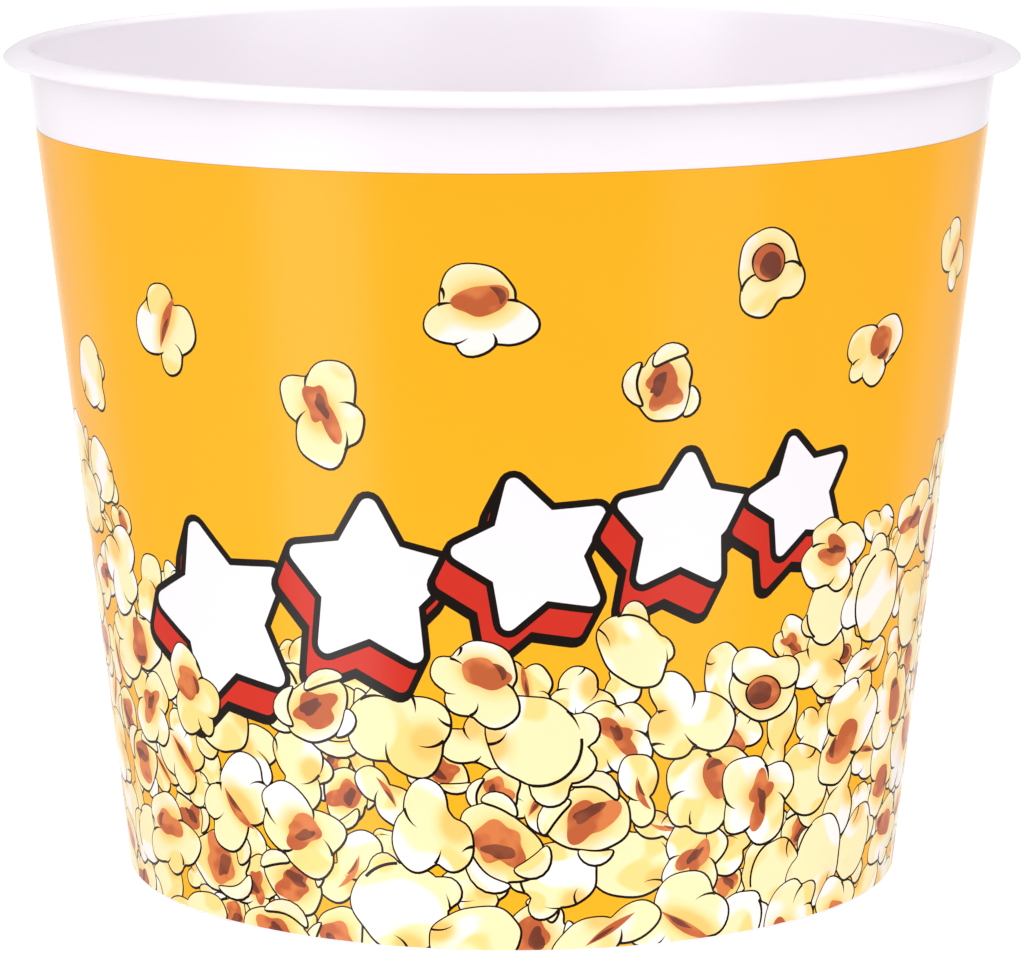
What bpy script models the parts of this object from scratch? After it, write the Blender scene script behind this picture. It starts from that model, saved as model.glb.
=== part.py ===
"""Plastic popcorn bucket: one moulded piece, a tapered tub with a rolled lip and a stand ring.

Run it with: blender --background --python part.py
Metres, +Z up. The origin is the centre of the stand ring's flat foot, on the surface it stands on.
"""

import math

import bpy

MM = 0.001

# Driving dimensions
HEIGHT = 177.8 * MM
LIP_DIAMETER = 215.9 * MM
BASE_DIAMETER = 165.7 * MM  # where the outside of the wall would meet the ground
TAPER = 0.1137  # growth of the outer radius for each unit of height
WALL = 1.3 * MM

# Rolled lip
LIP_THICKNESS = 1.3 * MM
LIP_DROP = 2.3 * MM  # from the crest down to the middle of the lip's edge
FLARE_RADIUS = 1.6 * MM  # where the inside of the wall turns over into the lip
UNDER_LIP_FILLET = 0.7 * MM

# Base
BASE_CORNER_RADIUS = 1.0 * MM
RING_WIDTH = 2.0 * MM  # flat foot of the stand ring
RECESS_DEPTH = 2.2 * MM  # the floor's underside stands this far above the ground
RECESS_FILLET = 0.8 * MM
FLOOR_THICKNESS = 1.4 * MM
INSIDE_CORNER_RADIUS = 3.0 * MM

# Faceting
STEPS_ROUND = 96
MERGE_DISTANCE = 0.00001

PLASTIC_COLOUR = (0.90, 0.87, 0.90, 1.0)
PLASTIC_ROUGHNESS = 0.28

SLOPE = math.atan(TAPER)  # the wall's lean from upright


def outer_radius(z):
    """Radius of the outside of the wall at height z."""
    return BASE_DIAMETER / 2 + TAPER * z


def inner_radius(z):
    """Radius of the inside of the wall at height z."""
    return outer_radius(z) - WALL / math.cos(SLOPE)


def arc(centre, radius, start, end, steps):
    """Points (x, z) of an arc from one angle to another, in degrees, ends included."""
    angles = [math.radians(start + (end - start) * i / steps) for i in range(steps + 1)]
    return [(centre[0] + radius * math.cos(a), centre[1] + radius * math.sin(a)) for a in angles]


def inside_points():
    """Floor's middle, out to the inside corner, and up to where the flare begins."""
    floor = RECESS_DEPTH + FLOOR_THICKNESS
    corner_z = floor + INSIDE_CORNER_RADIUS
    corner_x = inner_radius(corner_z) - INSIDE_CORNER_RADIUS / math.cos(SLOPE)
    lean = math.degrees(SLOPE)
    corner = arc((corner_x, corner_z), INSIDE_CORNER_RADIUS, -90, -lean, 4)
    return [(0.0, floor), (corner_x / 2, floor)] + corner


def lip_points():
    """Over the flare and the crest, round the lip's edge, back beneath it to the wall."""
    lean = math.degrees(SLOPE)
    flare_z = HEIGHT - FLARE_RADIUS
    flare_x = inner_radius(flare_z + FLARE_RADIUS * math.sin(SLOPE)) + FLARE_RADIUS * math.cos(SLOPE)
    flare = arc((flare_x, flare_z), FLARE_RADIUS, 180 - lean, 90, 4)

    # The top of the lip is one arc from the crest. Its middle line runs out by `reach` and down by `fall`.
    half = LIP_THICKNESS / 2
    reach = LIP_DIAMETER / 2 - half - flare_x
    fall = LIP_DROP - half
    middle_radius = (reach * reach + fall * fall) / (2 * fall)
    turn = math.degrees(math.asin(reach / middle_radius))
    centre = (flare_x, HEIGHT - half - middle_radius)
    top = arc(centre, middle_radius + half, 90, 90 - turn, 6)
    edge_centre = (flare_x + reach, HEIGHT - LIP_DROP)
    edge = arc(edge_centre, half, 90 - turn, -90 - turn, 6)
    under = arc(centre, middle_radius - half, 90 - turn, 90, 5)

    fillet_z = HEIGHT - LIP_THICKNESS - UNDER_LIP_FILLET
    fillet_x = outer_radius(fillet_z) + UNDER_LIP_FILLET
    fillet = arc((fillet_x, fillet_z), UNDER_LIP_FILLET, 90, 180, 3)
    under = [point for point in under if point[0] > fillet_x + UNDER_LIP_FILLET / 2]
    return flare + top[1:] + edge[1:] + under[1:] + fillet


def base_points():
    """Outside corner, flat foot, up into the recess, and in to the middle of the floor's underside."""
    lean = math.degrees(SLOPE)
    radius = BASE_CORNER_RADIUS
    corner_x = outer_radius(radius) - radius / math.cos(SLOPE)
    corner = arc((corner_x, radius), radius, -lean, -90, 4)
    ring_x = corner_x - RING_WIDTH
    recess_x = ring_x - RECESS_FILLET
    recess = arc((recess_x, RECESS_DEPTH - RECESS_FILLET), RECESS_FILLET, 0, 90, 3)
    return corner + [(ring_x, 0.0)] + recess + [(recess_x / 2, RECESS_DEPTH), (0.0, RECESS_DEPTH)]


def plastic():
    """White polypropylene with a soft gloss."""
    material = bpy.data.materials.new("white_plastic")
    material.use_nodes = True
    shader = material.node_tree.nodes["Principled BSDF"]
    shader.inputs["Base Color"].default_value = PLASTIC_COLOUR
    shader.inputs["Roughness"].default_value = PLASTIC_ROUGHNESS
    shader.inputs["Metallic"].default_value = 0.0
    return material


def turned(name, profile, material):
    """An object with the (x, z) profile swept once round the Z axis."""
    mesh = bpy.data.meshes.new(name)
    points = [(x, 0.0, z) for x, z in profile]
    edges = [(i, i + 1) for i in range(len(points) - 1)]
    mesh.from_pydata(points, edges, [])
    mesh.materials.append(material)
    made = bpy.data.objects.new(name, mesh)
    bpy.context.scene.collection.objects.link(made)

    screw = made.modifiers.new("turn", "SCREW")
    screw.angle = 2 * math.pi
    screw.steps = STEPS_ROUND
    screw.render_steps = STEPS_ROUND
    screw.use_smooth_shade = True
    screw.use_merge_vertices = True
    screw.merge_threshold = MERGE_DISTANCE
    return made


def main():
    for old in list(bpy.data.objects):
        bpy.data.objects.remove(old)
    turned("bucket", inside_points() + lip_points() + base_points(), plastic())


main()
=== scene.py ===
import math

import bpy
import numpy as np
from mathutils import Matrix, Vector
from mathutils.geometry import delaunay_2d_cdt


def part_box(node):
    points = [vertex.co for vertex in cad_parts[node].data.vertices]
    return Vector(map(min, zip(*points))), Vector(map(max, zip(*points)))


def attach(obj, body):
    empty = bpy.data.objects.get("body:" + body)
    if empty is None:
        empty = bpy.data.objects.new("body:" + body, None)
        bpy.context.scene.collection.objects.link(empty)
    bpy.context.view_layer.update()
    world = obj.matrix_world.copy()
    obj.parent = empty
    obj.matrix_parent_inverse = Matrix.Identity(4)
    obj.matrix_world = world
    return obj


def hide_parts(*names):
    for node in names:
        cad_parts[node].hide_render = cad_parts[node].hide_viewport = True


mm = 0.001

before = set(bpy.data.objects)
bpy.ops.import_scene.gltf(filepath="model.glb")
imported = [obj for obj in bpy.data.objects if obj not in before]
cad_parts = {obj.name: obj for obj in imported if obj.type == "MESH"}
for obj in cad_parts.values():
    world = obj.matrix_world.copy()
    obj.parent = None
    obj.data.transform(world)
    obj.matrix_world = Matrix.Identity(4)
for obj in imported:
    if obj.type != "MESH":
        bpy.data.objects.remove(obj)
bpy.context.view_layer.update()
lowCorner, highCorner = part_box("bucket")
print("frame loaded")


class Wire:
    # Wraps one output of a material's node tree. Sums and products of wires add Math nodes.
    def __init__(self, tree, socket=None):
        self.tree = tree
        self.socket = socket

    def node(self, kind, settings, inputs, output=0):
        # Adds a node: its settings first, then a value or a wire for each input that is named.
        made = self.tree.nodes.new(kind)
        for name, value in settings.items():
            setattr(made, name, value)
        for name, value in inputs.items():
            if isinstance(value, Wire):
                self.tree.links.new(value.socket, made.inputs[name])
            else:
                made.inputs[name].default_value = value
        return Wire(self.tree, made.outputs[output])

    def maths(self, operation, *values):
        return self.node("ShaderNodeMath", {"operation": operation}, dict(enumerate(values)))

    def __add__(self, other):
        return self.maths("ADD", self, other)

    def __radd__(self, other):
        return self.maths("ADD", other, self)

    def __sub__(self, other):
        return self.maths("SUBTRACT", self, other)

    def __rsub__(self, other):
        return self.maths("SUBTRACT", other, self)

    def __mul__(self, other):
        return self.maths("MULTIPLY", self, other)

    def __pow__(self, other):
        return self.maths("POWER", self, other)

    def rise(self, low, high):
        # 0 below low, 1 above high, and a smooth step between them
        settings = {"interpolation_type": "SMOOTHSTEP"}
        return self.node("ShaderNodeMapRange", settings, {"Value": self, "From Min": low, "From Max": high})

    def noise(self, scale, detail=1.0, roughness=0.5):
        values = {"Vector": self, "Scale": scale, "Detail": detail, "Roughness": roughness}
        return self.node("ShaderNodeTexNoise", {}, values)

    def cloud(self, scale, strength):
        # Plain noise about zero.
        return (self.noise(scale, 0) - 0.5) * strength

    def mix(self, under, over):
        # The colour under, covered by the colour over as far as this wire's value says.
        values = {0: self, 6: under, 7: over}
        return self.node("ShaderNodeMix", {"data_type": "RGBA"}, values, 2)


def newMaterial(name, finish):
    # A Principled material whose plain numbers are set straight on its sockets, and a wire to build with.
    material = bpy.data.materials.new(name)
    material.use_nodes = True
    shader = material.node_tree.nodes["Principled BSDF"]
    for socket, value in finish.items():
        shader.inputs[socket].default_value = value
    return material, shader, Wire(material.node_tree)


def feed(shader, socket, wire):
    wire.tree.links.new(wire.socket, shader.inputs[socket])


def srgb(red, green, blue):
    # A colour as a display shows it, 0 to 255, as the linear colour that a shader takes.
    shown = np.array([red, green, blue]) / 255
    linear = np.where(shown <= 0.04045, shown / 12.92, ((shown + 0.055) / 1.055) ** 2.4)
    return (*linear.tolist(), 1.0)


def newPiece(name, points, faces, materials, slot=None):
    # A smooth mesh at the origin. With a slot it is part of the bucket, and stands in for the CAD's own.
    mesh = bpy.data.meshes.new(name)
    mesh.from_pydata(points.tolist(), [], faces)
    for material in materials:
        mesh.materials.append(material)
    mesh.polygons.foreach_set("use_smooth", np.full(len(faces), True))
    piece = bpy.data.objects.new(name, mesh)
    bpy.context.scene.collection.objects.link(piece)
    if slot:
        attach(piece, "root")
        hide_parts("bucket")
    return piece


# The tub is one closed profile turned round Z.
tub = {
    "groundDiameter": 165.7 * mm,  # where the outside of the wall would meet the ground
    "taper": 0.1137,  # growth of the wall's outer radius for each unit of height
    "wall": 1.3 * mm,
    "lipThickness": 1.3 * mm,
    "lipDrop": 2.3 * mm,  # from the crest down to the middle of the lip's edge
    "flareRadius": 1.6 * mm,
    "underLipFillet": 0.7 * mm,
    "baseCorner": 1.0 * mm,
    "ringWidth": 2.0 * mm,
    "recess": 2.2 * mm,
    "recessFillet": 0.8 * mm,
    "floor": 1.4 * mm,
    "insideCorner": 3.0 * mm,
    "gateRadius": 3.2 * mm,  # the round mark where the plastic was let into the mould
    "gateDepth": 0.35 * mm,
    "stepsRound": 480,
}
tubHeight = highCorner.z - lowCorner.z
lipRadius = (highCorner.x - lowCorner.x) / 2
lean = math.atan(tub["taper"])


def outerRadius(z):
    return tub["groundDiameter"] / 2 + tub["taper"] * z


def innerRadius(z):
    return outerRadius(z) - tub["wall"] / math.cos(lean)


def arc(centre, radius, start, end, steps):
    # Points (x, z) round a circle's centre, from one angle to another in degrees, ends included.
    angles = np.radians(np.linspace(start, end, steps + 1))
    return np.stack([centre[0] + radius * np.cos(angles), centre[1] + radius * np.sin(angles)], 1)


def straight(start, end, steps):
    # Points from start towards end, both left out, evenly spaced.
    share = np.linspace(0, 1, steps + 1)[1:-1, None]
    return np.array(start) * (1 - share) + np.array(end) * share


def tubProfile():
    # The closed half section (x, z): floor, inside wall, flare, lip, outside wall, foot, recess, gate mark.
    leanAngle = math.degrees(lean)
    floor = tub["recess"] + tub["floor"]
    corner = tub["insideCorner"]
    cornerZ = floor + corner
    cornerX = innerRadius(cornerZ) - corner / math.cos(lean)
    inside = arc((cornerX, cornerZ), corner, -90, -leanAngle, 10)

    flareRadius = tub["flareRadius"]
    flareZ = tubHeight - flareRadius
    flareX = innerRadius(flareZ + flareRadius * math.sin(lean)) + flareRadius * math.cos(lean)
    flare = arc((flareX, flareZ), flareRadius, 180 - leanAngle, 90, 12)

    # The lip's top is one arc. Its middle line runs out by reach and down by fall.
    half = tub["lipThickness"] / 2
    reach = lipRadius - half - flareX
    fall = tub["lipDrop"] - half
    middle = (reach * reach + fall * fall) / (2 * fall)
    turn = math.degrees(math.asin(reach / middle))
    centre = (flareX, tubHeight - half - middle)
    top = arc(centre, middle + half, 90, 90 - turn, 16)
    edge = arc((flareX + reach, tubHeight - tub["lipDrop"]), half, 90 - turn, -90 - turn, 14)
    under = arc(centre, middle - half, 90 - turn, 90, 14)
    fillet = tub["underLipFillet"]
    filletZ = tubHeight - tub["lipThickness"] - fillet
    filletX = outerRadius(filletZ) + fillet
    under = under[under[:, 0] > filletX + fillet / 2]
    underFillet = arc((filletX, filletZ), fillet, 90, 180, 6)

    base = tub["baseCorner"]
    footX = outerRadius(base) - base / math.cos(lean)
    foot = arc((footX, base), base, -leanAngle, -90, 10)
    ringX = footX - tub["ringWidth"]
    recessX = ringX - tub["recessFillet"]
    recessCentre = (recessX, tub["recess"] - tub["recessFillet"])
    recess = arc(recessCentre, tub["recessFillet"], 0, 90, 6)
    gate = tub["gateRadius"]
    gateZ = tub["recess"]
    mark = [(gate * 1.08, gateZ), (gate, gateZ + tub["gateDepth"]), (gate * 0.3, gateZ + tub["gateDepth"])]
    nub = [(gate * 0.24, gateZ), (gate * 0.12, gateZ - 0.1 * mm)]
    return np.concatenate([
        straight((0.0, floor), inside[0], 8), inside, straight(inside[-1], flare[0], 20), flare,
        top[1:], edge[1:], under[1:], underFillet, straight(underFillet[-1], foot[0], 20), foot,
        straight(foot[-1], (ringX, 0.0), 3), [(ringX, 0.0)], recess,
        straight(recess[-1], mark[0], 8), mark, nub,
    ])


def turnProfile(name, profile, steps, materials, slot):
    # A surface of revolution: each ring is the profile turned one more step round Z. Its poles are points.
    angles = np.arange(steps) * 2 * math.pi / steps
    x = profile[None, :, 0] * np.cos(angles)[:, None]
    y = profile[None, :, 0] * np.sin(angles)[:, None]
    z = np.broadcast_to(profile[None, :, 1], x.shape)
    rings = np.stack([x, y, z], 2).reshape(-1, 3)
    poles = np.array([[0, 0, profile[0, 1]], [0, 0, profile[-1, 1]]])
    count = len(profile)
    here = np.arange(steps)[:, None] * count
    there = np.roll(here, -1, 0)
    step = np.arange(count - 1)[None, :]
    quads = np.stack([here + step, there + step, there + step + 1, here + step + 1], 2).reshape(-1, 4)
    firstPole, lastPole = len(rings), len(rings) + 1
    start = np.stack([here[:, 0], np.full(steps, firstPole), there[:, 0]], 1)
    end = np.stack([there[:, 0] + count - 1, np.full(steps, lastPole), here[:, 0] + count - 1], 1)
    faces = [*quads.tolist(), *start.tolist(), *end.tolist()]
    return newPiece(name, np.concatenate([rings, poles]), faces, materials, slot)


def addGloss(shader, start, gloss):
    # Roughness is least plus a share of soft clouds, and a fine noise bumps the skin.
    place = start.node("ShaderNodeTexCoord", {}, {}, 3)
    cloud = place.noise(gloss["clouds"], gloss["cloudDetail"])
    feed(shader, "Roughness", gloss["least"] + cloud * gloss["share"])
    skin = place.noise(gloss["skin"], 2)
    bump = {"Height": skin, "Strength": gloss["strength"], "Distance": gloss["depth"]}
    feed(shader, "Normal", start.node("ShaderNodeBump", {}, bump))


plastic = {
    "finish": {"Base Color": srgb(236, 230, 236), "IOR": 1.49, "Roughness": 0.24},
    "gloss": {
        "least": 0.19,
        "share": 0.12,
        "clouds": 14,
        "cloudDetail": 3,
        "skin": 900,
        "strength": 0.06,
        "depth": 0.06 * mm,
    },
}


def plasticMaterial():
    material, shader, start = newMaterial("whitePlastic", plastic["finish"])
    addGloss(shader, start, plastic["gloss"])
    return material


shell = turnProfile("tubShell", tubProfile(), tub["stepsRound"], [plasticMaterial()], "white_plastic")
print("tub made", len(shell.data.polygons))

# The label is drawn flat, in millimetres: x round the wall from the front, y up from the ground.
label = {
    "proud": 0.05,  # how far the film stands out from the wall
    "bottom": 0.8,
    "top": 161.5,
    "tilt": 0.34,  # degrees that the film sits askew, higher at the right of the front
    "gap": 0.9,  # between the film's two ends, at the back
    "panels": 8,
    "columns": 240,  # strips that the round wall is cut into
    "rule": 0.2,  # width of the darker line along its top edge
    "weld": 1e-5,  # points of the cut drawing that are nearer than this become one
    "seed": 5000,  # plus ten times its x, seeds a placed kernel's own draws
}
flatRadius = 92.0  # the wall's radius where x is true to size
halfRound = math.pi * flatRadius
drawn = []  # the shapes in the order they are printed, so that a later one covers those before it


def wallRadius(y):
    return outerRadius(y * mm) / mm


def labelSlope(x):
    # How far the film's askew fit lifts its edges at x.
    return wallRadius(label["top"]) * np.sin(x / flatRadius) * math.tan(math.radians(label["tilt"]))


def addShape(outline, ink, lobe=None, glow=None, place=None):
    # A closed outline in one ink. The matrices take the label's x, y to the coordinates that shade the ink.
    drawn.append({"outline": outline, "ink": ink, "lobe": lobe, "glow": glow, "place": place})


def turned(points, angle):
    c, s = math.cos(angle), math.sin(angle)
    return points @ np.array([[c, s], [-s, c]])


def spot(angle, distance):
    # The point at an angle and a distance from a kernel's middle.
    return np.array([math.cos(angle), math.sin(angle)]) * distance


def normals(outline):
    # Unit vectors out of a closed outline that runs anticlockwise.
    along = np.roll(outline, -1, 0) - np.roll(outline, 1, 0)
    out = np.stack([along[:, 1], -along[:, 0]], 1)
    return out / np.maximum(np.linalg.norm(out, axis=1), 1e-9)[:, None]


def leafOutline(start, end, bend, width, blunt):
    # A leaf between two points: its middle line bows by bend, its width follows a sine to the power blunt.
    start, end = np.array(start, float), np.array(end, float)
    s = (1 - np.cos(np.linspace(0, math.pi, 13)))[:, None] / 2
    across = np.array([start[1] - end[1], end[0] - start[0]])
    middle = start + (end - start) * s + across * bend * 4 * s * (1 - s)
    along = np.gradient(middle, axis=0)
    out = np.stack([along[:, 1], -along[:, 0]], 1) / np.linalg.norm(along, axis=1)[:, None]
    half = width / 2 * np.sin(math.pi * s) ** blunt
    return np.concatenate([middle + out * half, (middle - out * half)[-2:0:-1]])


kernelStyle = {
    "points": 64,  # round the outline
    "fewPoints": 44,  # round a small kernel's
    "waves": (2, 3, 5, 8),  # how often each wobble goes round the outline
    "line": 0.54,  # the outline's width, in millimetres
    "weights": (0.84, 0.28),  # of that width: the middling line, and how much its heavy side adds
    "outside": 0.4,  # the share of the line that stands outside the flesh's own edge
    "heavySide": math.radians(-50),  # the outline is heaviest on this side, and lightest on the other
    "crease": 0.07,  # a crease's width where it leaves the outline, as a share of the kernel's size
    "melt": 15,  # how sharply two lobes meet: more makes a sharper notch
    "lead": 0.16,  # how far before the outline a joint starts, in radians
    "leastOverlap": 0.3,  # the overlap of two lobes below which their joint is left out, in radians
    "tile": 8.0,  # the distance between two kernels' places in the shading noise
    "tileRow": 61,  # places in a row
}


class Kernel:
    # One piece of popcorn, in units of its own size. Its lobes are circles: x, y and radius.
    def __init__(self, centre, size, turn, flip, rng):
        self.centre = np.array(centre, float)
        self.size = size
        self.turn = turn
        self.flip = flip
        self.rng = rng
        squash = math.exp(rng.uniform(-0.17, 0.17))
        self.stretch = np.array([flip * squash, 1 / squash])
        number, row = len(drawn), kernelStyle["tileRow"]
        self.tile = np.array([number % row, number // row % row]) * kernelStyle["tile"]

    def onLabel(self, points):
        # Mirrored, turned and sized, and drawn wider low on the cone, where x is smaller than it looks.
        placed = turned(np.array(points, float) * self.stretch, self.turn) * self.size
        placed = placed * (flatRadius / wallRadius(self.centre[1]), 1) + self.centre
        return placed if self.flip > 0 else placed[::-1]

    def local(self, centre=(0, 0), radii=(1, 1), turn=0.0, tile=(0, 0)):
        # The matrix from the label to a frame whose origin is centre and whose unit is radii.
        centre = np.array(centre, float)
        corners = centre + np.array([(0, 0), spot(turn, radii[0]), spot(turn + math.pi / 2, radii[1])])
        spots = turned(corners * self.stretch, self.turn) * self.size
        spots = spots * (flatRadius / wallRadius(self.centre[1]), 1) + self.centre
        inverse = np.linalg.inv(np.stack([spots[1] - spots[0], spots[2] - spots[0]], 1))
        return np.concatenate([inverse, (np.array(tile) - inverse @ spots[0])[:, None]], 1)

    def fill(self, outline, ink, frameOf, glow=None):
        addShape(outline, ink, frameOf, glow, self.local(tile=self.tile))

    def body(self, lobes, glow=None, wobble=0.03):
        # The lobes melted together: at each angle the outline's reach is a soft maximum of the lobes' far
        # sides, times 1 plus a few small waves.
        self.lobes = np.array(lobes, float)
        count = kernelStyle["fewPoints" if self.size < 5.5 else "points"]
        angle = np.linspace(0, 2 * math.pi, count, endpoint=False)
        self.angles = angle
        ray = np.stack([np.cos(angle), np.sin(angle)], 1)
        along = ray @ self.lobes[:, :2].T
        left = self.lobes[:, 2] ** 2 - (self.lobes[:, :2] ** 2).sum(1) + along ** 2
        far = np.where(left > 0, along + np.sqrt(np.maximum(left, 0)), 0).clip(0.03)
        melt = kernelStyle["melt"]
        reach = (far ** melt).sum(1) ** (1 / melt)
        waves = np.array(kernelStyle["waves"])[:, None]
        phase = self.rng.uniform(0, 2 * math.pi, (4, 1))
        reach = reach * (1 + (wobble * np.cos(waves * angle + phase) / waves ** 0.4).sum(0))
        self.reach = reach
        self.outlined(ray * reach[:, None], self.local(), glow)

    def outlined(self, outline, frameOf, glow=None):
        # Flesh inside a dark line, which is a little wider on its heavy side.
        placed = self.onLabel(outline)
        out = normals(placed)
        heavy = out @ spot(kernelStyle["heavySide"], 1)
        even, more = kernelStyle["weights"]
        width = kernelStyle["line"] * (even + more * heavy)[:, None]
        outside = kernelStyle["outside"]
        addShape(placed + out * width * outside, "line")
        self.fill(placed - out * width * (1 - outside), "flesh", frameOf, glow)

    def inside(self, points):
        # The points, drawn in to the outline where they would stand outside it.
        far = np.maximum(np.linalg.norm(points, axis=1), 1e-6)
        most = np.interp(np.arctan2(points[:, 1], points[:, 0]), self.angles, self.reach, period=2 * math.pi)
        return points * np.minimum(1, most / far)[:, None]

    def meeting(self, front, behind):
        # The outer point where two lobes' circles cross, and how far round the front one they overlap.
        x, y, radius = self.lobes[front]
        gap = self.lobes[behind, :2] - (x, y)
        distance = np.linalg.norm(gap)
        towards = (radius ** 2 - self.lobes[behind, 2] ** 2 + distance ** 2) / (2 * distance)
        half = math.acos(np.clip(towards / radius, -1, 1))
        middle = math.atan2(gap[1], gap[0])
        ends = [middle - half, middle + half]
        reaches = [np.linalg.norm(spot(end, radius) + (x, y)) for end in ends]
        outer = int(np.argmax(reaches))
        return ends[outer], (2 * half if outer == 0 else -2 * half)

    def joint(self, front, behind, share, width=1.0):
        # The line where the front lobe covers the one behind: it follows the front circle in from the
        # outline, for a share of the overlap, and runs out to nothing.
        start, sweep = self.meeting(front, behind)
        if abs(sweep) < kernelStyle["leastOverlap"]:
            return
        s = np.linspace(0, 1, 10)
        angle = start + sweep * s * share - math.copysign(kernelStyle["lead"], sweep) * (1 - s)
        half = kernelStyle["crease"] / 2 * width * ((1 - s ** 1.4) if share < 0.95 else 1.0 + 0 * s)
        x, y, radius = self.lobes[front]
        ray = np.stack([np.cos(angle), np.sin(angle)], 1)
        outer = self.inside(ray * (radius + half)[:, None] + (x, y))
        inner = self.inside(ray * (radius - half)[:, None] + (x, y))
        line = np.concatenate([outer, inner[-2::-1]] if share < 0.95 else [outer, inner[::-1]])
        self.stroke(line if sweep > 0 else line[::-1], "line")

    def stroke(self, outline, ink):
        self.fill(self.onLabel(outline), ink, self.local())

    def leaf(self, start, end, bend, width, ink, blunt=0.7):
        self.stroke(leafOutline(start, end, bend, width, blunt), ink)

    def petal(self, start, end, bend, width, glow=None):
        # A curled flake with its own outline.
        middle = (np.array(start, float) + end) / 2
        half = np.linalg.norm(np.subtract(end, start)) / 2
        turn = math.atan2(end[1] - start[1], end[0] - start[0])
        frameOf = self.local(middle, (half, width / 2), turn)
        self.outlined(leafOutline(start, end, bend, width, 0.5), frameOf, glow)

    def nick(self, angle, bend, depth=0.32):
        # A short crease in from the outline, thick at the rim and thin inside.
        reach = np.interp(angle, self.angles, self.reach, period=2 * math.pi)
        start, end = spot(angle, reach), spot(angle + bend, reach * (1 - depth))
        s = np.linspace(0, 1, 9)[:, None]
        across = np.array([start[1] - end[1], end[0] - start[0]])
        middle = start + (end - start) * s + across * bend * 1.6 * s * (1 - s)
        side = across / np.linalg.norm(across)
        half = kernelStyle["crease"] / 2 * (1 - s) ** 0.7
        crease = np.concatenate([middle - side * half, (middle + side * half)[-2::-1]])
        self.stroke(self.inside(crease), "line")

    def patch(self, centre, radii, turn, ink, ragged=0.3, points=32):
        # A stain with a ragged edge: an ellipse times 1 plus four waves.
        t = np.arange(points) * 2 * math.pi / points
        waves = np.arange(2, 6)[:, None]
        sizes = ragged * self.rng.uniform(0.3, 1.0, (4, 1)) / waves
        phases = self.rng.uniform(0, 2 * math.pi, (4, 1))
        r = 1 + (sizes * np.cos(waves * t + phases)).sum(0)
        oval = turned(np.stack([radii[0] * r * np.cos(t), radii[1] * r * np.sin(t)], 1), turn)
        self.fill(self.onLabel(oval + np.array(centre)), ink, self.local(centre, radii, turn))

    def hollow(self, centre, radii, turn):
        # A cup in the hull: brown, with a dark crescent along one side.
        self.patch(centre, radii, turn, "hull", 0.34)
        ends = np.array([(0.62, -0.55), (0.5, 0.6)]) * radii
        side = turned(ends, turn)
        self.leaf(side[0] + centre, side[1] + centre, -0.26, radii[0] * 0.34, "core")

    def hole(self, centre, radii, turn):
        # A round opening with a line round it: brown above, dark below.
        wide = np.array(radii) + 0.55 * kernelStyle["crease"]
        self.patch(centre, wide, turn, "line", 0.04)
        self.patch(centre, radii, turn, "hull", 0.04)
        low = np.array(centre) + spot(kernelStyle["heavySide"] - self.turn, radii[1] * 0.24)
        self.patch(low, (radii[0] * 0.76, radii[1] * 0.72), turn, "core", 0.12)

    def slit(self, start, end, bend, width):
        # A split in the hull: a long brown leaf with a dark one in it, nearer to its end.
        self.leaf(start, end, bend, width, "hull", 1.0)
        start, end = np.array(start, float), np.array(end, float)
        self.leaf(start * 0.6 + end * 0.4, start * 0.1 + end * 0.9, bend, width * 0.5, "core", 1.0)


def drawPuff(k):
    # A big smooth dome, made of two lobes nearly in one, over a collar of small ones.
    rng = k.rng
    count = int(rng.integers(2, 4))
    spread = rng.uniform(0.5, 0.95)
    angles = -1.57 + rng.uniform(-0.5, 0.5) + np.linspace(-spread, spread, count)
    collar = [(*spot(a, rng.uniform(0.64, 0.8)), rng.uniform(0.24, 0.36)) for a in angles]
    dome = (0.0, 0.1, rng.uniform(0.76, 0.84))
    bulge = (*spot(rng.uniform(0.2, 2.9), 0.3), rng.uniform(0.62, 0.7))
    side = rng.choice([-1, 1])
    fold = 1.57 - side * rng.uniform(0.5, 1.2)
    k.body([dome, *collar, bulge], k.local(spot(fold, 0.8), (0.3, 0.3)))
    for number in range(count):
        k.joint(0, number + 1, 1.0 if rng.random() < 0.6 else 0.5, 0.8)
    k.nick(fold, 0.42 * side)


def drawTwin(k):
    # Two big lobes side by side with a small one wedged between them.
    rng = k.rng
    big, small = rng.uniform(0.58, 0.66), rng.uniform(0.46, 0.54)
    wedge = spot(rng.choice([-1.4, 1.5]), 0.56)
    lobes = [(-0.36, rng.uniform(-0.05, 0.15), big), (0.4, rng.uniform(-0.2, 0.05), small), (*wedge, 0.32)]
    k.body(lobes, k.local(wedge * 0.6, (0.3, 0.3)))
    k.joint(0, 1, rng.uniform(0.45, 0.6))
    k.joint(0, 2, 0.8)
    k.joint(1, 2, 0.5, 0.8)
    k.nick(3.6, 0.3, 0.26)


def drawCloud(k):
    # Lobes of unequal size burst round one middle, each partly over the next.
    rng = k.rng
    count = int(rng.integers(3, 5))
    angles = np.arange(count) * 2 * math.pi / count + rng.uniform(-0.3, 0.3, count)
    lobes = [(*spot(a, rng.uniform(0.38, 0.52)), rng.uniform(0.4, 0.58)) for a in angles]
    first = int(rng.integers(count))
    k.body([*lobes, (0, 0, 0.5)], k.local(spot(angles[first] + 0.8, 0.5), (0.34, 0.34)))
    for number in range(count):
        k.joint(number, (number + 1) % count, rng.uniform(0.3, 0.6), 0.9)
    k.nick(angles[first] + 0.2, -0.26, 0.24)


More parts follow.
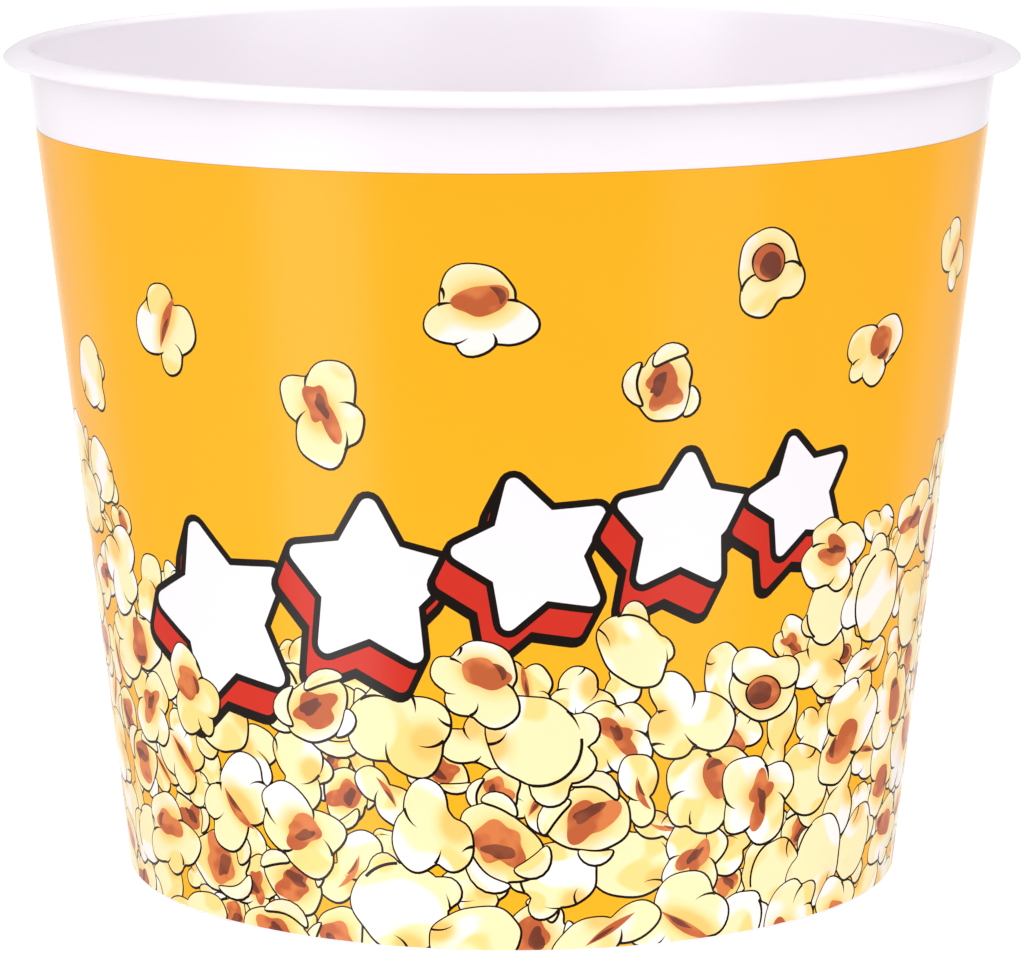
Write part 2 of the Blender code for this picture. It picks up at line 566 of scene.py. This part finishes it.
def drawTorn(k):
    # Unequal lobes round a hollow scrap of brown hull.
    rng = k.rng
    side = rng.choice([-1, 1])
    lobes = [
        (0.0, 0.36, 0.6),
        (-0.5 * side, -0.2, rng.uniform(0.38, 0.46)),
        (0.42 * side, -0.28, rng.uniform(0.44, 0.54)),
        (-0.1 * side, -0.62, rng.uniform(0.26, 0.34)),
    ]
    centre = (0.05 * side, 0.22)
    k.body(lobes, k.local(centre, (0.5, 0.42)), 0.04)
    k.joint(2, 0, rng.uniform(0.35, 0.5))
    k.joint(1, 0, rng.uniform(0.3, 0.5))
    k.joint(3, 2, 0.5)
    k.joint(1, 3, 0.5, 0.8)
    k.nick(1.57 + 0.8 * side, 0.3 * side, 0.22)
    k.hollow(centre, (rng.uniform(0.4, 0.5), rng.uniform(0.27, 0.36)), rng.uniform(-0.5, 0.9))


def drawSplit(k):
    # Two halves either side of a brown slit that runs in from a deep notch.
    rng = k.rng
    lobes = [(-0.14, 0.38, 0.56), (0.14, -0.42, 0.5), (-0.5, -0.36, 0.34), (0.46, 0.3, 0.42)]
    k.body(lobes, k.local((0.2, 0.0), (0.62, 0.26), -0.1))
    k.joint(0, 2, 0.3)
    k.joint(3, 0, 0.4, 0.8)
    k.joint(2, 1, 0.6, 0.8)
    k.slit((0.74, -0.1), (-0.44, 0.04), rng.uniform(-0.1, 0.1), rng.uniform(0.18, 0.25))


def drawScrap(k):
    # A cloud with a ragged brown scrap stuck in a fold.
    rng = k.rng
    lobes = [(-0.36, 0.26, 0.54), (0.4, 0.3, 0.46), (0.36, -0.36, 0.52), (-0.34, -0.34, 0.42), (0, 0, 0.4)]
    k.body(lobes, k.local((0.05, 0.05), (0.42, 0.38)), 0.05)
    k.joint(0, 1, 0.5)
    k.joint(2, 1, 0.4)
    k.joint(3, 2, 0.45)
    k.joint(0, 3, 0.4)
    turn = rng.uniform(0, 3)
    k.patch((0.08, 0.0), (0.44, 0.3), turn, "hull", 0.75, 40)
    k.patch((0.14, -0.04), (0.24, 0.1), turn + 0.4, "core", 0.6, 20)


def drawCurl(k):
    # A dome with a wide brown stain, and pale flakes curled up over its edge.
    rng = k.rng
    k.body([(0.06, 0.16, 0.66), (-0.2, -0.2, 0.6), (0.42, -0.26, 0.42)], k.local((0, 0), (0.6, 0.5)))
    turn = rng.uniform(-0.5, 0.5)
    k.patch((-0.02, 0.02), (0.5, 0.42), turn, "hull", 0.62, 40)
    k.patch((0.06, -0.1), (0.3, 0.15), turn + 0.5, "core", 0.5, 22)
    k.petal((-0.86, -0.42), (0.0, -0.52), -0.22, 0.4)
    k.petal((0.22, -0.74), (0.62, 0.16), -0.3, 0.36)
    if rng.random() < 0.6:
        k.petal((-0.62, 0.3), (-0.16, 0.84), 0.24, 0.32)


def drawLong(k):
    # Two lobes in a row, drawn out long, with a crease at the waist.
    rng = k.rng
    k.stretch = k.stretch * (1.12, 0.86)
    tail = (0.42, rng.uniform(-0.14, 0.2), rng.uniform(0.38, 0.48))
    k.body([(-0.34, 0.0, rng.uniform(0.5, 0.58)), tail], k.local((0.1, -0.4), (0.3, 0.3)))
    k.joint(0, 1, 0.5)
    if rng.random() < 0.4:
        k.slit((0.5, -0.1), (-0.36, 0.02), rng.uniform(-0.16, 0.16), rng.uniform(0.14, 0.2))


def drawHole(k):
    # A dome with a round opening, and a lobe behind it.
    rng = k.rng
    lobes = [(0.04, 0.1, 0.74), (-0.42, -0.3, 0.44), (0.36, -0.4, 0.36)]
    k.body(lobes, k.local((0.06, 0.2), (0.42, 0.42)), 0.025)
    k.joint(1, 0, 0.6)
    k.joint(2, 0, 0.6)
    k.hole((0.06, 0.18), (rng.uniform(0.34, 0.4), rng.uniform(0.28, 0.36)), rng.uniform(0, 3))


def drawFlake(k):
    # A small curled flake of three lobes.
    rng = k.rng
    lobes = [(0, -0.02, 0.6), (-0.48, 0.2, rng.uniform(0.34, 0.44)), (0.46, 0.16, rng.uniform(0.36, 0.46))]
    k.body(lobes, k.local((0.2, 0.3), (0.3, 0.3)), 0.05)
    k.joint(0, 1, 0.62)
    k.joint(0, 2, 0.5)


kinds = [
    drawPuff, drawTwin, drawCloud, drawTorn, drawSplit,
    drawScrap, drawCurl, drawLong, drawHole, drawFlake,
]


def drawKernel(kind, centre, size, turn, flip, rng):
    kind(Kernel(centre, size, turn, flip, rng))


# The heap stands high at the sides of each face of the label and low in the middle.
heap = {
    "seed": 11,
    "floor": 1.5,
    "sink": 0.35,  # how far below the floor a kernel's middle may lie, as a share of its size
    "low": 57.0,  # its top in the middle of a face, and how much higher it stands at the sides
    "rise": 44.0,
    "ripples": ((3.5, 11, 0), (2.5, 6.1, 1)),  # on its top: height, length and shift of each
    # how many, the smallest and the biggest size
    "groups": ((84, 10.0, 12.2), (140, 8.2, 10.0), (180, 6.2, 8.2), (150, 4.6, 6.0)),
    "tries": 60,  # for each
    "spacing": 0.61,  # how near two may stand, as a share of their sizes' sum
    "shuffle": 4.0,  # the biggest lie on top, but for this much chance
    "odds": (0.22, 0.06, 0.1, 0.13, 0.09, 0.12, 0.14, 0.09, 0.05, 0.0),  # of each kind
    "small": 5,  # the size up to which the small ones' odds hold
    "reach": 1.3,  # how far a kernel may reach from its middle, as a share of its size
    "smallOdds": (0.24, 0.12, 0.12, 0.1, 0.0, 0.12, 0.0, 0.16, 0.0, 0.14),
}
rng = np.random.default_rng(heap["seed"])


def heapTop(x):
    top = heap["low"] + heap["rise"] * (np.sin(x / flatRadius) ** 2) ** 1.4
    for height, length, shift in heap["ripples"]:
        top = top + height * np.sin(x / length + shift)
    return top


def heapPlaces():
    # The biggest first, each is thrown at the heap until it lands clear of the others. A row is x, y, size.
    placed = np.zeros((0, 3))
    for count, smallest, biggest in heap["groups"]:
        for size in rng.uniform(smallest, biggest, count):
            tries = rng.uniform(0, 1, (heap["tries"], 2))
            x = (tries[:, 0] * 2 - 1) * halfRound
            floor = heap["floor"] - size * heap["sink"]
            y = floor + (heapTop(x) - size * 0.5 - floor) * tries[:, 1]
            across = np.abs(x[:, None] - placed[:, 0])
            across = np.minimum(across, 2 * halfRound - across)
            room = np.hypot(across, y[:, None] - placed[:, 1]) - heap["spacing"] * (size + placed[:, 2])
            free = np.flatnonzero((room > 0).all(1))
            if len(free):
                placed = np.concatenate([placed, [[x[free[0]], y[free[0]], size]]])
    return placed[np.argsort(placed[:, 2] + rng.uniform(0, heap["shuffle"], len(placed)))]


heapRows = heapPlaces()
for x, y, size in heapRows:
    odds = heap["odds"] if size > heap["small"] else heap["smallOdds"]
    kind = kinds[rng.choice(len(kinds), p=odds)]
    turn, flip = rng.uniform(0, 2 * math.pi), rng.choice([-1, 1])
    for away in (-2 * halfRound, 0, 2 * halfRound):
        # what hangs over the film's end is drawn at its other end too, with the same draws of chance
        if abs(x + away) < halfRound + heap["reach"] * size:
            drawKernel(kind, (x + away, y), size, turn, flip, np.random.default_rng(int(size * 1e6)))
print("heap drawn", len(heapRows), len(drawn))

# A row of stars, on the front and again on the back. Each is a white face with a red side, down to its left.
stars = {
    "count": 5,
    "first": (-66.0, 67.0),  # the first and the last star's middle
    "last": (62.0, 93.0),
    "arch": 3.0,
    "bigReach": 22.5,  # from the middle to a tip, first and last
    "smallReach": 15.0,
    "waist": 0.54,  # reach of the inner corners, as a share of the tips'
    "blunt": 0.13,  # radius of the rounded tips, as a share of the reach
    "trim": 1.6,  # how much shorter the star is under its rounding, as a share of that radius
    "tipSteps": 7,
    "turn": 0.12,
    "sway": math.radians(9),  # each leans the other way from its neighbour
    "line": 1.5,
    "side": (-3.2, -6.4),
}


def starOutline(centre, reach, turn, grow=0.0):
    # A star with ten corners, grown by a distance. Its tips turn into arcs. Its inner corners stay sharp.
    blunt = reach * stars["blunt"]
    core = reach - stars["trim"] * blunt
    angles = turn + math.pi / 2 + np.arange(10) * math.pi / 5
    reaches = np.where(np.arange(10) % 2 == 0, core, core * stars["waist"])
    corners = centre + np.stack([np.cos(angles), np.sin(angles)], 1) * reaches[:, None]
    along = np.roll(corners, -1, 0) - corners
    facing = np.arctan2(-along[:, 0], along[:, 1])  # which way each edge looks outward
    out = blunt + grow
    points = []
    for number, corner in enumerate(corners):
        before, after = facing[number - 1], facing[number]
        sweep = (after - before + math.pi) % (2 * math.pi) - math.pi
        if number % 2:
            points.append(corner + spot(before + sweep / 2, out / math.cos(sweep / 2)))
            continue
        shares = np.linspace(0, 1, stars["tipSteps"])
        points += [corner + spot(before + sweep * share, out) for share in shares]
    return np.array(points)


def addSwept(outline, move, ink):
    # The outline drawn all the way along move: itself at the far end, and each edge's parallelogram.
    addShape(outline + move, ink)
    for start, end in zip(outline, np.roll(outline, -1, 0)):
        face = np.array([start, end, end + move, start + move])
        turns = np.cross(face[1] - face[0], face[2] - face[1])
        if abs(turns) > 1e-6:
            addShape(face if turns > 0 else face[::-1], ink)


def drawStars(away):
    first, last = np.array(stars["first"]), np.array(stars["last"])
    side = np.array(stars["side"])
    places = []
    reaches = np.linspace(stars["bigReach"], stars["smallReach"], stars["count"])
    steps = np.concatenate([[0], np.cumsum(reaches[1:] + reaches[:-1])])
    for number, share in enumerate(steps / steps[-1]):
        lift = stars["arch"] * 4 * share * (1 - share)
        centre = first + (last - first) * share + (away, lift)
        places.append((centre, reaches[number], stars["turn"] + stars["sway"] * (-1) ** number))
    for centre, reach, turn in places:
        half = stars["line"] / 2
        addSwept(starOutline(centre, reach, turn, half), side * (1 + half / np.linalg.norm(side)), "line")
        addSwept(starOutline(centre, reach, turn, -half), side, "red")
        addShape(starOutline(centre, reach, turn, half), "line")
        addShape(starOutline(centre, reach, turn, -half), "white")


for away in (0.0, halfRound, -halfRound):
    drawStars(away)

# Kernels that stand in front of the stars' feet, and those that fly above the heap. Each is x, y, size,
# kind and turn.
inFront = [
    (-77.0, 49.0, 9.6, drawTorn, 0.4),
    (-43.0, 50.0, 9.4, drawCurl, 3.6),
    (-7.0, 58.0, 10.0, drawTorn, 5.8),
    (26.0, 64.0, 8.8, drawPuff, 2.2),
    (73.0, 79.0, 9.6, drawScrap, 1.2),
]
flying = [
    (-74.0, 126.0, 10.0, drawSplit, 1.2),
    (-37.0, 112.0, 10.8, drawScrap, 2.0),
    (-6.0, 134.0, 11.2, drawTorn, 0.1),
    (29.0, 118.0, 8.8, drawCurl, 3.6),
    (50.0, 140.0, 10.2, drawHole, 0.5),
    (80.0, 121.0, 9.2, drawTorn, 5.2),
    (110.0, 137.0, 8.6, drawSplit, 1.0),
    (-106.0, 112.0, 8.6, drawPuff, 1.0),
]
for away in (0.0, halfRound, -halfRound):
    for x, y, size, kind, turn in inFront + flying:
        if abs(x + away) < halfRound:
            ownRng = np.random.default_rng(int(x * 10 + label["seed"]))
            drawKernel(kind, (x + away, y), size, turn, 1, ownRng)
# A strip of darker yellow along the film's top edge.
columns = np.linspace(-halfRound, halfRound, label["columns"] + 1)
upper = label["top"] + labelSlope(columns)
darkerEdgeBelow = np.stack([columns, upper - label["rule"]], 1)
darkerEdgeAbove = np.stack([columns, upper + 1], 1)
addShape(np.concatenate([darkerEdgeBelow, darkerEdgeAbove[::-1]]), "rule")
print("label drawn", len(drawn))


def onWall(flat, proud):
    # A place on the drawing as a point in the room: x is an angle round the wall, y a height.
    angle = flat[:, 0] / flatRadius
    radius = (wallRadius(flat[:, 1]) + proud / math.cos(lean)) * mm
    return np.stack([radius * np.sin(angle), -radius * np.cos(angle), flat[:, 1] * mm], 1)


def wallNormals(flat):
    angle = flat[:, 0] / flatRadius
    level = math.cos(lean)
    return np.stack([level * np.sin(angle), -level * np.cos(angle), np.full(len(flat), -math.sin(lean))], 1)


def within(outline, spots):
    # Which spots the outline winds round: an edge that passes a spot on its right counts up or down.
    start, end = outline[None], np.roll(outline, -1, 0)[None]
    x, y = spots[:, None, 0], spots[:, None, 1]
    along, away = end - start, np.stack([x - start[..., 0], y - start[..., 1]], 2)
    side = along[..., 0] * away[..., 1] - away[..., 0] * along[..., 1]
    up = (start[..., 1] <= y) & (end[..., 1] > y) & (side > 0)
    down = (start[..., 1] > y) & (end[..., 1] <= y) & (side < 0)
    return up.sum(1) > down.sum(1)


def ringEdges(first, count):
    # The edges round one outline whose points are numbered from first.
    start = first + np.arange(count)
    return np.stack([start, first + (np.arange(count) + 1) % count], 1)


def cutPanel(low, high):
    # One upright panel of the film, from x low to high. The outlines in it cut it into triangles, and each
    # shows the last printed shape round its middle, or the bare ground, which is numbered -1.
    steps = round(label["columns"] / label["panels"])
    columns = np.linspace(low, high, steps + 1)
    top = np.stack([columns, label["top"] + labelSlope(columns)], 1)
    bottom = np.stack([columns, np.full(steps + 1, label["bottom"])], 1)
    rim = np.concatenate([bottom, top[::-1]])
    nearby = []
    for index, shape in enumerate(drawn):
        least, most = shape["outline"].min(0), shape["outline"].max(0)
        if most[0] > low and least[0] < high and most[1] > 0:
            nearby.append(index)
    outlines = [rim] + [drawn[index]["outline"] for index in nearby]
    starts = np.cumsum([0] + [len(outline) for outline in outlines])
    ribs = np.stack([np.arange(steps + 1), 2 * steps + 1 - np.arange(steps + 1)], 1)
    rings = [ringEdges(start, len(outline)) for start, outline in zip(starts, outlines)]
    edges = np.concatenate([ribs, *rings])
    spots = [Vector(point) for point in np.concatenate(outlines).tolist()]
    found = delaunay_2d_cdt(spots, edges.tolist(), [], 0, label["weld"])
    flat = np.array([tuple(point) for point in found[0]])
    triangles = np.array(found[2])
    triangles = triangles[within(rim, flat[triangles].mean(1))]
    middles = flat[triangles].mean(1)
    shown = np.full(len(triangles), -1)
    for index in nearby:
        outline = drawn[index]["outline"]
        near = np.flatnonzero(((middles > outline.min(0)) & (middles < outline.max(0))).all(1))
        shown[near[within(outline, middles[near])]] = index
    return flat, triangles, shown


def filmPiece(name, flat, triangles, slots, materials):
    # The drawing's triangles wrapped on the wall, with its own normals and a map of the unrolled film.
    used, corners = np.unique(triangles, return_inverse=True)
    corners = corners.reshape(-1, 3)
    flat = flat[used]
    piece = newPiece(name, onWall(flat, label["proud"]), corners.tolist(), materials, "label_film")
    piece.data.polygons.foreach_set("material_index", slots)
    piece.data.normals_split_custom_set_from_vertices(wallNormals(flat).tolist())
    low, high = flat.min(0), flat.max(0)
    unrolled = ((flat - low) / (high - low))[corners.reshape(-1)]
    piece.data.uv_layers.new(name="OFBake").data.foreach_set("uv", unrolled.reshape(-1).astype(np.float32))
    return piece


inkColours = {
    "yellow": srgb(242, 170, 15),
    "rule": srgb(214, 156, 39),
    "line": srgb(21, 14, 10),
    "white": srgb(233, 228, 232),
    "red": srgb(199, 41, 24),
    "pale": srgb(240, 224, 175),
    "light": srgb(241, 232, 230),
    "straw": srgb(242, 208, 128),
    "amber": srgb(240, 185, 91),
    "hull": srgb(183, 89, 46),
    "hullLight": srgb(210, 119, 64),
    "core": srgb(109, 52, 35),
    "coreLight": srgb(138, 70, 44),
}
film = {
    "finish": {"IOR": 1.49, "Roughness": 0.2},
    "gloss": {
        "least": 0.17,
        "share": 0.08,
        "clouds": 22,
        "cloudDetail": 2,
        "skin": 260,  # a faint ripple from the mould
        "strength": 0.08,
        "depth": 0.08 * mm,
    },
}


def plainInk(name):
    material, shader, start = newMaterial(name + "Ink", film["finish"] | {"Base Color": inkColours[name]})
    addGloss(shader, start, film["gloss"])
    return material


def shapePlace(start, name):
    # The two numbers of a shape's own coordinates.
    both = start.node("ShaderNodeUVMap", {"uv_map": name}, {})
    return [start.node("ShaderNodeSeparateXYZ", {}, {0: both}, axis) for axis in range(2)]


flesh = {
    "fairness": (0.17, 0.9),  # some kernels are whiter than others: the noise's scale and strength
    "lights": (0.9, 2.6),
    "shades": (1.1, 2.4),
    "apart": (3.7, 1.9, 0),  # from the noise of the lights to that of the shades
    "straw": (0.13, 0.37),  # from where to where each colour comes in
    "light": (0.26, 0.44),
    "rim": (0.8, 1.05),
    "strawGlow": (0.9, 1.7),
    "amberGlow": (0.6, 1.2),
}


def fleshInk():
    # Burst corn: pale yellow, with soft white lights on one side, straw on the other, and amber round folds.
    material, shader, start = newMaterial("cornInk", film["finish"])
    p, q = shapePlace(start, "lobe")
    a, b = shapePlace(start, "glow")
    place = start.node("ShaderNodeUVMap", {"uv_map": "place"}, {})
    rim = (p * p + q * q) ** 0.5
    near = (a * a + b * b) ** 0.5
    elsewhere = start.node("ShaderNodeVectorMath", {"operation": "ADD"}, {0: place, 1: flesh["apart"]})
    fairness = place.cloud(*flesh["fairness"])
    lit = q * 0.22 - p * 0.16 + place.cloud(*flesh["lights"]) + rim * 0.1 + fairness
    dim = p * 0.16 - q * 0.22 + elsewhere.cloud(*flesh["shades"]) - fairness
    colour = dim.rise(*flesh["straw"]).mix(inkColours["pale"], inkColours["straw"])
    colour = (lit.rise(*flesh["light"]) * 0.95).mix(colour, inkColours["light"])
    colour = (rim.rise(*flesh["rim"]) * 0.45).mix(colour, inkColours["light"])
    colour = ((1 - near.rise(*flesh["strawGlow"])) * 0.7).mix(colour, inkColours["straw"])
    colour = ((1 - near.rise(*flesh["amberGlow"])) * 0.8).mix(colour, inkColours["amber"])
    feed(shader, "Base Color", colour)
    addGloss(shader, start, film["gloss"])
    return material


def hullInk(name, light):
    # Toasted hull: the darker brown, with its lighter one in soft patches and towards the shape's top.
    material, shader, start = newMaterial(name + "Ink", film["finish"])
    q = shapePlace(start, "lobe")[1]
    place = start.node("ShaderNodeUVMap", {"uv_map": "place"}, {})
    patchy = q * 0.5 + (place.noise(2.2, 1) - 0.5) * 3 + place.cloud(0.23, 2)
    feed(shader, "Base Color", patchy.rise(-0.1, 0.6).mix(inkColours[name], inkColours[light]))
    addGloss(shader, start, film["gloss"])
    return material


printed = {"flesh": fleshInk(), "hull": hullInk("hull", "hullLight"), "core": hullInk("core", "coreLight")}
flatInks = {name: plainInk(name) for name in ("yellow", "rule", "white", "red")}

# Each panel's corn is a piece of its own, whose corners carry the coordinates that its inks are shaded by.
# Lines and flat fields need no shading, so each is one piece of plain colours round the whole wall.
noPlace = np.array([[0.0, 0.0, 9.0], [0.0, 0.0, 9.0]])  # far from any glow
shapeInk = np.array([shape["ink"] for shape in drawn] + ["yellow"])
matrices = {
    name: np.array([noPlace if shape[name] is None else shape[name] for shape in drawn] + [noPlace])
    for name in ("lobe", "glow", "place")
}
bounds = np.linspace(-halfRound, halfRound, label["panels"] + 1)
bounds[[0, -1]] += np.array([0.5, -0.5]) * label["gap"]
allFlat, allTriangles, allShapes, offset = [], [], [], 0
for number in range(label["panels"]):
    flat, triangles, shapes = cutPanel(bounds[number], bounds[number + 1])
    allFlat.append(flat)
    allTriangles.append(triangles + offset)
    allShapes.append(shapes)
    offset += len(flat)
    inks = shapeInk[shapes]
    corn = np.isin(inks, list(printed))
    slots = np.array([list(printed).index(ink) for ink in inks[corn]])
    piece = filmPiece(f"cornPrint{number + 1}", flat, triangles[corn], slots, list(printed.values()))
    for name, rows in matrices.items():
        rows = rows[shapes[corn]]
        numbers = np.einsum("tij,tcj->tci", rows[:, :, :2], flat[triangles[corn]]) + rows[:, None, :, 2]
        piece.data.uv_layers.new(name=name).data.foreach_set("uv", numbers.reshape(-1).astype(np.float32))
    print("corn panel", number + 1, corn.sum())

flat, triangles = np.concatenate(allFlat), np.concatenate(allTriangles)
inks = shapeInk[np.concatenate(allShapes)]
isLine = inks == "line"
filmPiece("labelLines", flat, triangles[isLine], np.zeros(isLine.sum(), int), [plainInk("line")])
isFlat = np.isin(inks, list(flatInks))
slots = np.array([list(flatInks).index(ink) for ink in inks[isFlat]])
filmPiece("labelGround", flat, triangles[isFlat], slots, list(flatInks.values()))
print("label made", isLine.sum(), isFlat.sum())

studio = {
    "floorSize": 12.0,
    "floorGrey": 0.35,
    "floorGlow": (0.37, 0.89),  # a lit table, dimmer in front: it stays white round the foot
    "glowRise": (-0.55, -0.15),  # along y, from where to where the one turns into the other
    # The white room in rows, from below the horizon up to the ceiling. A row has the height it starts at,
    # over how much height it fades in, the azimuths in degrees where its level changes, and its levels.
    # Azimuth 0 is on the camera's side and positive is to its right. The floor hides the lowest row from all
    # but gloss.
    "rows": (
        (
            -1.0,
            0.1,
            (-160, -125, -64, -36, 36, 64, 125, 160),
            (1.04, 0.54, 0.24, 1.55, 0.1, 0.7, 0.16, 0.47, 1.08),
        ),
        (-0.02, 0.04, (-130, -93, -56, -24, 24, 72, 130), (0.48, 0.24, 0.33, 3.67, 0.34, 2.0, 0.1, 0.48)),
        (0.26, 0.1, (-125, -40, 40, 125), (0.14, 1.87, 1.36, 1.87, 0.14)),
        (0.55, 0.15, (), (1.43,)),
    ),
    "softness": 10,  # degrees over which one level turns into the next
}


def makeFloor():
    half = studio["floorSize"] / 2
    corners = np.array([[-half, -half, 0], [half, -half, 0], [half, half, 0], [-half, half, 0]])
    grey = studio["floorGrey"]
    near, far = studio["floorGlow"]
    finish = {"Base Color": (grey, grey, grey, 1), "Roughness": 1.0, "Specular IOR Level": 0.0}
    material, shader, start = newMaterial("floorPaint", {**finish, "Emission Strength": 1.0})
    place = start.node("ShaderNodeTexCoord", {}, {}, 3)
    depth = start.node("ShaderNodeSeparateXYZ", {}, {0: place}, 1)
    feed(shader, "Emission Color", depth.rise(*studio["glowRise"]) * (far - near) + near)
    floor = newPiece("floor", corners, [[0, 1, 2, 3]], [material])
    floor.visible_glossy = False


def roundTheRoom(azimuth, edges, levels):
    # The first level, plus a smooth step up or down at each edge.
    half = studio["softness"] / 2
    total = levels[0]
    for edge, before, after in zip(edges, levels, levels[1:]):
        total = total + azimuth.rise(edge - half, edge + half) * (after - before)
    return total


def makeWorld():
    world = bpy.data.worlds.new("room")
    bpy.context.scene.world = world
    world.use_nodes = True
    world.cycles.sampling_method = "NONE"
    tree = world.node_tree
    start = Wire(tree)
    direction = start.node("ShaderNodeTexCoord", {}, {}, 0)
    x, y, z = [start.node("ShaderNodeSeparateXYZ", {}, {0: direction}, axis) for axis in range(3)]
    azimuth = start.maths("ARCTAN2", x, 0 - y) * (180 / math.pi)
    strength = 0
    for height, fade, edges, levels in studio["rows"]:
        share = z.rise(height, height + fade)
        strength = (1 - share) * strength + share * roundTheRoom(azimuth, edges, levels)
    tree.links.new(strength.socket, tree.nodes["Background"].inputs["Strength"])
    tree.nodes["Background"].inputs["Color"].default_value = (1, 1, 1, 1)


makeFloor()
makeWorld()

view = {
    "lens": 185.34,
    "sensor": 36,
    "place": (0, -1.1205, 0.2819),
    "pitch": 79.943,  # degrees up from looking straight down
}
cameraData = bpy.data.cameras.new("camera")
cameraData.lens = view["lens"]
cameraData.sensor_width = view["sensor"]
camera = bpy.data.objects.new("camera", cameraData)
bpy.context.scene.collection.objects.link(camera)
camera.location = view["place"]
camera.rotation_euler = (math.radians(view["pitch"]), 0, 0)
bpy.context.scene.camera = camera
bpy.context.scene.view_settings.view_transform = "Standard"

print("room made")
